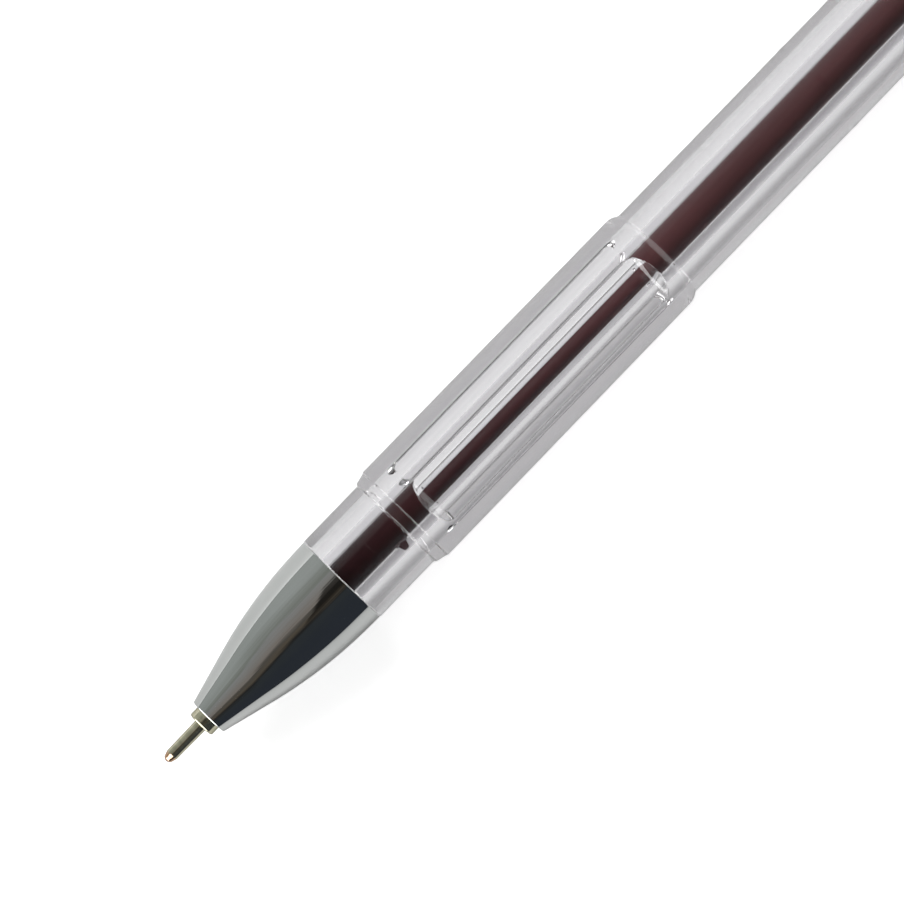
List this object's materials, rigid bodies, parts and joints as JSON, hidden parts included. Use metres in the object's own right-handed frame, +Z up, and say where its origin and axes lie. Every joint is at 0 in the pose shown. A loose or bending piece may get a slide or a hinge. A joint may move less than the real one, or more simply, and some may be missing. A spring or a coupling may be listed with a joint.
{
  "type": "stick ballpoint pen",
  "caption": "Stick ballpoint pen: clear barrel with a fluted grip, bright nose cone, needle point refill with dark ink, end plug and a posted cap with a clip.",
  "frame": {"origin": "front of the writing ball, on the pen's axis", "axes": "+X along the pen from the writing point to the rear end, +Z up with the pen lying on a table"},
  "size_m": [0.1654, 0.0119, 0.01],
  "materials": {
    "ball_metal": "polished hard metal ball, wetted with ink",
    "point_metal": "bright turned nickel silver",
    "clear_tube": "clear extruded polypropylene",
    "ink": "dark oil ink",
    "bright_plating": "mirror plating",
    "clear_plastic": "clear polished polystyrene",
    "black_plastic": "moulded black polypropylene"
  },
  "bodies": {
    "barrel": {"barrel": "clear_plastic", "end_plug": "black_plastic"},
    "refill": {"point_body": "point_metal", "refill_tube": "clear_tube", "ink": "ink", "nose_cone": "bright_plating"},
    "ball": {"writing_ball": "ball_metal"},
    "cap": {"cap": "black_plastic"}
  },
  "joints": [
    {"name": "cap_pull", "type": "slide", "parent": "barrel", "child": "cap", "axis": [1, 0, 0], "range_m": [0, 0.04]},
    {"name": "refill_pull", "type": "slide", "parent": "barrel", "child": "refill", "axis": [-1, 0, 0], "range_m": [0, 0.13]},
    {"name": "ball_roll", "type": "hinge", "parent": "refill", "child": "ball", "pos_m": [0.00035, 0, 0], "axis": [0, 1, 0], "continuous": true}
  ]
}
